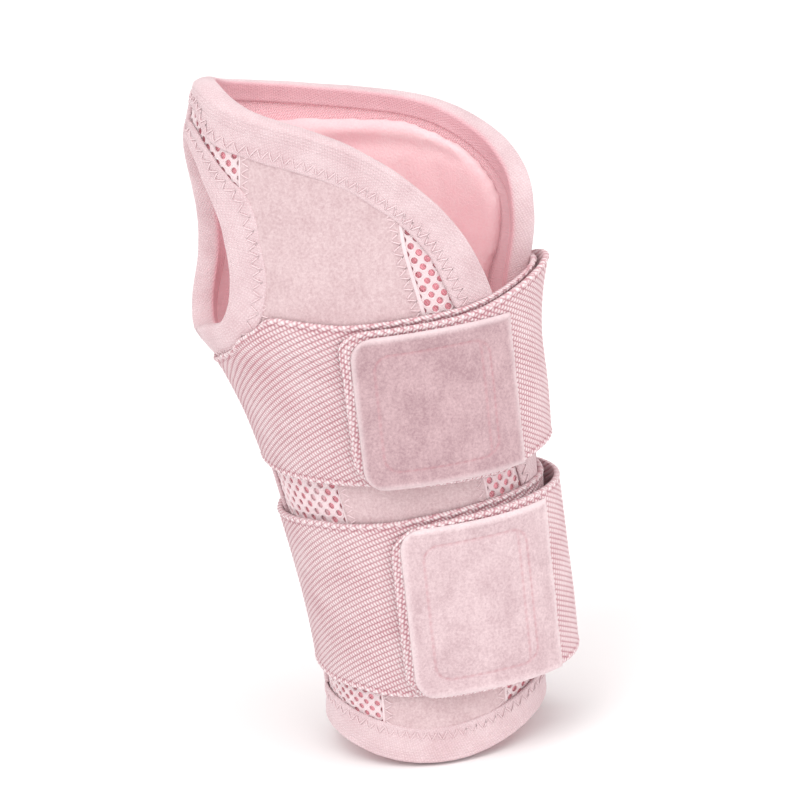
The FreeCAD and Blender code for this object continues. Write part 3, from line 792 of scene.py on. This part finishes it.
def zigzag_line(edge, depth_of, face_out, start=2.0, end=None):
    """One thread's line, dipping into the cloth where it turns."""
    end = edge.length - 2.0 if end is None else end
    step = ZIGZAG_PITCH / 8
    s = np.arange(start, end, step)
    s = s - (s[0] % step)
    swing = zigzag(s)
    dip = np.abs(swing) > ZIGZAG_HALF * 0.9
    return edge.at(s, depth_of(s) + swing, face_out(s) + np.where(dip, -0.3, 0.2))


def tape_thread(edge):
    """The thread that sews a folded tape down, sunk a little where the splint slides past."""
    def depth(s):
        return np.interp(s, edge.s, edge.width) - ZIGZAG_INSET

    def face(s):
        return 0.98 - 0.3 * smooth(26, 20, np.abs(np.interp(s, edge.s, edge.angle) + 180))

    return zigzag_line(edge, depth, face)


opening = Edge(FRONT_EDGE + BACK_EDGE, 1)
thumb_opening = Edge(THUMB_HOLE, -1, closed=True)
cuff = Edge([(a, hem(a)) for a in np.linspace(-262, 83, 30)], 1)
for node, edge, seed in (("opening_tape", opening, 21), ("thumb_hole_tape", thumb_opening, 22),
                         ("cuff_tape", cuff, 23)):
    tape = piece(folded_tape(node + "_cloth", edge, seed), "binding", node)

threads = [tape_thread(edge) for edge in (opening, thumb_opening, cuff)]
for border, panel_side, top in ((THUMB_BORDER, -1, 190), (SLIT_BORDER, 1, 172)):
    seam = Edge(border, 1)
    low_s, high_s = np.interp((12, top), seam.height, seam.s)
    threads.append(zigzag_line(seam, lambda s: 2.1 * panel_side, lambda s: 0.42, low_s, high_s))
piece(tube("zigzag_threads", threads, THREAD_RADIUS, THREAD), "binding")


def seam_tape(name, low, high, top):
    z, t = grid(low, high, int((high - low) * 2), 41, -1)
    stitches = 0.25 * bump((np.abs(t) - 0.7) * 3.5, 0.4)
    lift = -stitches - 0.5 * np.clip(np.abs(t) * 8 - 7, 0, 1) ** 2
    angle = SEAM_ANGLE + 5.5 * t + 0 * z
    return sheet(name, angle, z + 0 * t, top + lift + 0.08 * noise(angle.shape, (20, 3), 31), 0.85, BINDING)


piece(seam_tape("thumb_seam_cloth", 19, 124, 1.05), "binding", "thumb_seam_tape")
piece(seam_tape("thumb_seam_top", 194.5, 205.5, 0.9), "binding")

# ---- webbing straps
ROW_PITCH, BEAD_PITCH, SELVEDGE_PITCH = 1.65, 1.05, 2.5


def strap_sides(strap, angle, out):
    """Heights of the strap's two selvedges."""
    across = form(angle, strap["middle"], out)[..., 0]
    return spline(strap["bottom"], 1, across), spline(strap["top"], 1, across)


def band_out(angle):
    from_palm = np.abs(angle + 180)
    out = BAND_OUT + (POCKET_OUT - BAND_OUT) * (1 - smooth(22, 50, from_palm))
    end = HINGE_ANGLE - 360
    return out + (HINGE_OUT - out) * smooth(end + 26, end + 3, angle)


def lap_out(strap, angle, t):
    low, high = strap["loose"]
    bulge = smooth(14, 78, angle) * (1 - smooth(92, HINGE_ANGLE - 3, angle))
    laid = HINGE_OUT + (LAP_OUT - HINGE_OUT) * smooth(HINGE_ANGLE, HINGE_ANGLE - 12, angle)
    return laid + (low + (high - low) * t) * bulge


def outer_out(strap, angle, t):
    """The free end's back face, carried on round the slit side's corner onto the palm."""
    return np.where(angle > HINGE_ANGLE, band_out(angle - 360), lap_out(strap, angle, t))


def angle_at(strap, x, t, height):
    """Angle at which the lapped strap is at x."""
    low, high = np.full(np.shape(x), -80.0), np.full(np.shape(x), 80.0)
    for _ in range(34):
        middle = (low + high) / 2
        over = form(middle, height, lap_out(strap, middle, t) + WEBBING)[..., 0] > x
        high, low = np.where(over, middle, high), np.where(over, low, middle)
    return (low + high) / 2


def round_off(corner, from_end):
    """How far a round corner cuts in, at a distance from its end."""
    return corner - np.sqrt(np.clip(corner ** 2 - np.clip(corner - from_end, 0, corner) ** 2, 0, None))


def webbing(name, strap, start, end, out_of, slope_of, corner=0.0, seed=1, share=1.0):
    """Woven elastic, with its slanting rows raised and beads along its selvedges."""
    middle = strap["middle"]
    fine = np.linspace(start, end, 800)
    run = totals(np.abs(np.diff(fine)) * reach(fine[:-1], middle))
    columns = int(run[-1] / 0.5)
    s = np.linspace(0, run[-1], columns)
    angle = np.interp(s, run, fine)[:, None]
    slope = slope_of(angle[:, 0])
    shift = totals((slope[1:] + slope[:-1]) / 2 * np.diff(angle[:, 0]) * reach(angle[1:, 0], middle))
    s, t = s[:, None], np.linspace(0, 1, 148)[None, :]
    out = out_of(angle, t)
    bottom, top = strap_sides(strap, angle, out)
    top = bottom + (top - bottom) * share
    from_end = run[-1] - s
    cut = round_off(corner, from_end) * 0.98
    low, high = bottom + cut, top - cut
    height = low + (high - low) * t
    if corner:
        square = angle_at(strap, np.full(t.shape, strap["tab"][0] - TAB_OVERHANG), t, height[-1:])
        angle = angle + (square - end) * smooth(40, 2, from_end)
        out = out_of(angle, t)
    margin = np.minimum(height - low, high - height)
    if corner:
        margin = np.minimum(margin, from_end)
    row = (height - bottom[:1] - shift[:, None]) / ROW_PITCH
    bead = (s * np.sign(end - start) + height * 0.5 * np.sign(slope)[:, None]) / BEAD_PITCH
    body = smooth(1.5, 2.2, margin)
    ridge = np.abs(np.sin(math.pi * row)) ** 0.8
    along_edge = s + height * (from_end < corner)
    knot = 0.5 + 0.5 * np.cos(2 * math.pi * along_edge / SELVEDGE_PITCH)
    border = bump(margin, 0.55, 0.75)
    lift = 0.3 * (ridge - 0.7) * body + (0.42 * knot - 0.05) * border - 0.25 * bump(margin, 0.3, 1.75)
    second = bump(margin, 0.5, 2.6) * (from_end < 5) if corner else 0.0
    lift = lift + 0.25 * knot * second
    lift = lift + 0.18 * noise(lift.shape, (max(4, columns // 40), 3), seed) - 0.5 * rim(margin, 0.35)
    # Tone: the selvedge's white beads lighten it; painted shade darkens between the beads and along the
    # groove beside the selvedge.
    tone = (knot - 0.25) * (border + second) * 0.8 - 0.35 * bump(margin, 0.35, 1.75)
    face, behind = form(angle, height, out + WEBBING + lift), form(angle, height, out + 0.12)
    made = two_sided(name, face, behind, 4, np.stack([bead, row], axis=-1), WEAVE, tone)
    return made


LAP_FROM = 146.0


def band_slope(angle):
    return np.interp(angle, [-214, -110, -60, -15, 30, 112], [0.55, 0.62, 0.78, 0.36, 0.3, 0.4])


for key, seed in (("upper", 41), ("lower", 51)):
    strap = STRAPS[key]
    band = webbing(key + "_band", strap, LAP_FROM - 360, ROOT_ANGLE, lambda a, t: band_out(a) + 0 * t,
                   band_slope, seed=seed)
    piece(band, "webbing", key + "_webbing")
    lap_start = float(angle_at(strap, np.array(strap["tab"][0] - TAB_OVERHANG), 0.5, strap["middle"]))
    free = webbing(key + "_free_webbing", strap, LAP_FROM, lap_start, lambda a, t: outer_out(strap, a, t),
                   lambda a: np.full(np.shape(a), -0.62), TAB_CORNER + TAB_OVERHANG, seed + 1, FREE_END_LOWER)
    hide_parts(key + "_free_end")
    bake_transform(free)


def tab_grid(strap, x0, x1, z0, z1, corner, step=0.45):
    """Grid over a rectangle with round left corners: x, height, share, angle and the distance to a side."""
    z, share = grid(z0, z1, int((z1 - z0) / step), int((x1 - x0) / step))
    inset = round_off(corner, np.minimum(z - z0, z1 - z))
    x = x0 + inset + (x1 - x0 - inset) * share
    side = np.minimum(x - x0 - inset, x1 - x)
    t = (z - z0) / (z1 - z0) + 0 * x
    angle = angle_at(strap, x, t, z + 0 * x)
    return x, z + 0 * x, t, angle, np.minimum(side, np.minimum(z - z0, z1 - z))


STITCH_LEFT, STITCH_RIGHT, STITCH_SIDE, STITCH_CORNER = 6.6, 7.4, 5.6, 4.5


def tab(name, strap, material, seed):
    left, right = strap["tab"]
    middle = (left + right) / 2
    z0 = float(spline(strap["bottom"], 1, middle)) + TAB_INSET_BELOW
    z1 = float(spline(strap["top"], 1, middle)) - TAB_INSET_ABOVE
    x, z, t, angle, edge = tab_grid(strap, left, right, z0, z1, TAB_CORNER)
    base = lap_out(strap, angle, t) + WEBBING + 0.4
    half_x, half_z = (right - left - STITCH_LEFT - STITCH_RIGHT) / 2, (z1 - z0) / 2 - STITCH_SIDE
    from_x = np.abs(x - (left + STITCH_LEFT + half_x)) - half_x + STITCH_CORNER
    from_z = np.abs(z - (z0 + z1) / 2) - half_z + STITCH_CORNER
    from_line = (np.hypot(np.maximum(from_x, 0), np.maximum(from_z, 0))
                 + np.minimum(np.maximum(from_x, from_z), 0) - STITCH_CORNER)
    second = right - STITCH_RIGHT - 2.4 - x
    crease = np.clip(bump(from_line, 0.3) + bump(second, 0.3) * (from_line < 0), 0, 1)
    stitched = 0.7 + 0.3 * np.cos(2 * math.pi * np.where(from_z > from_x, x, z) / 2.4)
    broad = bump(from_line, 1.9) + bump(second, 1.5) * (from_line < 0)
    lift = -0.42 * crease * stitched - 0.22 * np.clip(broad, 0, 1.3)
    lift = lift + 0.16 * noise(x.shape, (7, 6), seed) + 0.05 * noise(x.shape, (40, 36), seed + 1)
    lift = lift + 0.22 * bump(edge, 0.8, 1.3) - 0.85 * rim(edge, 1.1, 2.2)
    # Tone: a painted highlight along the tab's rolled edges, and painted shade in the sunk stitched creases.
    tone = 0.55 * np.clip(1.3 - edge / 1.6, 0, 1) - 0.6 * crease * stitched
    face, behind = form(angle, z, base + TAB_THICK - 0.1 + lift), form(angle, z, base - 0.12)
    return two_sided(name, face, behind, 3, np.stack([x, z], axis=-1), material, tone), (z0, z1)


for key, material, seed in (("upper", TAB_SUEDE_UPPER, 61), ("lower", TAB_SUEDE_LOWER, 71)):
    strap = STRAPS[key]
    left, right = strap["tab"]
    made, (z0, z1) = tab(key + "_tab_suede", strap, material, seed)
    piece(made, "tab_suede", key + "_tab", body=key + "_strap")
    x, z, t, angle, edge = tab_grid(strap, left + 3, right - 6, z0 + 2.2, z1 - 1.6, 4.5, 0.55)
    out = lap_out(strap, angle, t)
    rows, columns = np.indices(x.shape)
    hook = ((rows % 2 == 0) & (columns % 2 == 0) & (edge > 1)) * 0.38
    backing = form(angle, z, out - 0.02)
    hooks = form(angle, z, out - 0.42 - hook)[:, ::-1]
    patch = sweep(key + "_hooks", np.concatenate([backing, hooks], axis=1), HOOKS)
    piece(patch, "hook_tape", key + "_hook_patch", body=key + "_strap")

# ---- plush pad inside the palm
PAD_FACE, PAD_THICK, PAD_BLUNT, PAD_SWELL = -4.5, 3.4, 1.9, 1.0
PAD_WIDE, PAD_TALL, PAD_EDGE = 70.0, 150.0, 4.5


def pad_shape():
    slit_side, thumb_side = path_points(PAD_SLIT_SIDE, 90), path_points(PAD_THUMB_SIDE, 90)
    rise, t = grid(0, 1, 90, 60)
    angle = slit_side[:, :1] * (1 - t) + thumb_side[:, :1] * t
    height = slit_side[:, 1:] * (1 - t) + thumb_side[:, 1:] * t
    crown = spline(np.array(PAD_TOP), 1, angle[-1]) - height[-1]
    height = height + crown[None, :] * rise
    edge = np.minimum(np.minimum(t, 1 - t) * PAD_WIDE, np.minimum(rise, 1 - rise) * PAD_TALL)
    full = np.sqrt(np.clip(1 - (1 - np.clip(edge / PAD_EDGE, 0, 1)) ** 2, 0, 1))
    from_top = (1 - rise) * PAD_TALL
    roll = 0.7 * np.exp(-(from_top - 4) ** 2 / 9) - 0.5 * np.exp(-(from_top - 9.5) ** 2 / 6)
    creases = sum(bump(t * 72 - place, 0.9, bend * rise) for place, bend in ((4.0, 3.0), (8.5, 5.0)))
    swelling = PAD_THICK - PAD_BLUNT + roll - 0.75 * creases * smooth(0.9, 0.6, rise)
    thick = PAD_BLUNT + swelling * full
    face = form(angle, height, PAD_FACE - thick)
    back = form(angle, height, np.full(angle.shape, PAD_FACE))[:, ::-2]
    return np.concatenate([face, back], axis=1)


def swell(soft, voxel, pressure, frames, most):
    """Fill a closed form with pressure in a cloth simulation, and keep the result."""
    bpy.context.view_layer.objects.active = soft
    remesh = soft.modifiers.new("remesh", "REMESH")
    remesh.mode, remesh.voxel_size = "VOXEL", voxel * MM
    depsgraph = bpy.context.evaluated_depsgraph_get()
    even = bpy.data.meshes.new_from_object(soft.evaluated_get(depsgraph))
    even.materials.clear()
    soft.modifiers.clear()
    before = read(even.vertices, "co", 3)
    made = placed("swelling", even)
    simulated = made.modifiers.new("cloth", "CLOTH")
    settings = simulated.settings
    settings.use_pressure, settings.uniform_pressure_force = True, pressure
    settings.quality, settings.mass = 5, 0.15
    settings.tension_stiffness = settings.compression_stiffness = 25
    settings.bending_stiffness = 1.0
    settings.effector_weights.gravity = 0
    simulated.collision_settings.use_collision = False
    simulated.point_cache.frame_start, simulated.point_cache.frame_end = 1, frames
    for step in range(1, frames + 1):
        scene.frame_set(step)
    after_mesh = made.evaluated_get(bpy.context.evaluated_depsgraph_get()).to_mesh()
    move = read(after_mesh.vertices, "co", 3) - before
    scene.frame_set(1)
    bpy.data.objects.remove(made)
    size = np.linalg.norm(move, axis=1, keepdims=True)
    move *= np.minimum(1, most * MM / np.maximum(size, 1e-9))
    place = before + move
    ends = read(even.edges, "vertices", 2, np.int32)
    count = np.bincount(ends.ravel(), minlength=len(place))[:, None]
    for weight in (0.5, -0.52) * 5:
        total = np.zeros_like(place)
        np.add.at(total, ends[:, 0], place[ends[:, 1]])
        np.add.at(total, ends[:, 1], place[ends[:, 0]])
        place += weight * (total / count - place)
    even.vertices.foreach_set("co", place.ravel())
    even.update()
    return even


pad = sweep("plush_pad", pad_shape(), PLUSH)
swollen = swell(pad, 1.4, 4.0, 12, PAD_SWELL)
swollen.materials.append(PLUSH)
swollen.polygons.foreach_set("use_smooth", np.ones(len(swollen.polygons), bool))
pad.data = swollen
subdivide = pad.modifiers.new("subdivide", "SUBSURF")
subdivide.levels = subdivide.render_levels = 1
piece(pad, "plush", "palm_pad")

# ---- splint pocket on the palm
POCKET_LOW, POCKET_HIGH, POCKET_FRONT = 22.5, 174.0, 165.0
POCKET_HALF, POCKET_NEAR, POCKET_FAR, POCKET_WALL = 12.45, 28.25, 32.65, 0.7
LIP_FROM, LIP_WIDE, LIP_TOP = 19.0, 8.5, 168.0


def pocket():
    sides = 72
    turn = np.linspace(0, 2 * math.pi, sides, endpoint=False)
    mid, half = (POCKET_NEAR + POCKET_FAR) / 2, (POCKET_FAR - POCKET_NEAR) / 2

    def loop(half_x, half_y, power=6.0):
        c, s = np.cos(turn), np.sin(turn)
        grow = (np.abs(c) ** power + np.abs(s) ** power) ** (-1 / power)
        return half_x * grow * c, half_y * grow * s

    outer_x, outer_y = loop(POCKET_HALF, half)
    inner_x, inner_y = loop(POCKET_HALF - POCKET_WALL, half - POCKET_WALL, 8.0)
    front = smooth(-0.3, 0.5, outer_y / half)
    mouth = POCKET_HIGH + (POCKET_FRONT - POCKET_HIGH) * front
    rings = []
    for share in np.linspace(0, 1, 150):
        z = POCKET_LOW + (mouth - POCKET_LOW) * share
        puff = 0.12 * np.sin(z / 4.3) * np.sin(outer_x / 4 + z / 9)
        rings.append(np.column_stack([outer_x, mid + outer_y + puff * front, z]))
    rings.append(np.column_stack([(outer_x + inner_x) / 2, mid + (outer_y + inner_y) / 2, mouth + 0.35]))
    for share in np.linspace(1, 0, 40):
        z = POCKET_LOW + POCKET_WALL + (mouth - POCKET_LOW - POCKET_WALL) * share
        rings.append(np.column_stack([inner_x, mid + inner_y, z]))
    rings = np.array(rings)
    around = totals(np.hypot(np.diff(outer_x), np.diff(outer_y)))
    uv = np.stack([np.broadcast_to(around, rings.shape[:2]), rings[..., 2]], axis=-1)
    return sweep("splint_pocket_cloth", rings, POCKET, uv)


pocket_cloth = piece(pocket(), "pocket_cloth", "splint_pocket")


def pocket_lip(side):
    """Flat edge of the pocket, sewn down on the palm."""
    z, t = grid(POCKET_LOW - 1.5, LIP_TOP, 150, 12)
    angle = 180 - side * (LIP_FROM + LIP_WIDE * t) + 0 * z
    lift = 0.95 - 0.35 * bump(t, 0.12, 0.55) * (0.6 + 0.4 * np.cos(2 * math.pi * z / 2.6))
    lift = lift - 0.5 * np.clip(t * 6 - 5, 0, 1) ** 2
    return sheet("pocket_lip_" + ("slit" if side > 0 else "thumb"), angle, z + 0 * t, lift, 0.8, POCKET, 2)


lips = [piece(pocket_lip(side), "pocket_cloth") for side in (-1, 1)]

# ---- CAD solids that stay
for node, material in (("palm_splint", METAL), ("splint_end_caps", CAP), ("thumb_side_stay", STAY_PLASTIC)):
    kept = bpy.data.objects[node]
    if not kept.material_slots:
        kept.data.materials.append(material)
    for slot in kept.material_slots:
        slot.material = material

# ---- floor and light
FLOOR_HALF, FLOOR_DROP = 8.0, 0.0005      # metres
floor_mesh = bpy.data.meshes.new("floor")
corners = [(x * FLOOR_HALF, y * FLOOR_HALF, 0) for x, y in ((-1, -1), (1, -1), (1, 1), (-1, 1))]
floor_mesh.from_pydata(corners, [], [(0, 1, 2, 3)])
floor_mesh.materials.append(Cloth("floor").finish((250, 249, 249), sheen=0.0, rough=0.95, shine=0.05))
floor_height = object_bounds()[0][2] - FLOOR_DROP
floor = placed("floor", floor_mesh)
floor.location.z = floor_height

world = bpy.data.worlds.new("studio")
world.use_nodes = True
background = world.node_tree.nodes["Background"].inputs
background["Color"].default_value = (1.0, 0.985, 0.982, 1)
background["Strength"].default_value = 0.84
scene.world = world
scene.view_settings.view_transform = "Standard"


def softbox(name, toward, strength, softness):
    """Broad even light from one direction."""
    data = bpy.data.lights.new(name, "SUN")
    data.energy, data.angle = strength, math.radians(softness)
    data.color = (1.0, 0.98, 0.972)
    made = placed(name, data)
    made.location = Vector(toward)
    made.rotation_euler = Vector(toward).to_track_quat("Z", "Y").to_euler()


softbox("key", (-0.55, -0.75, 1.15), 0.7, 35)
softbox("fill", (0.8, -0.65, 0.8), 0.6, 60)
softbox("top", (0.1, -0.3, 1.0), 0.5, 50)
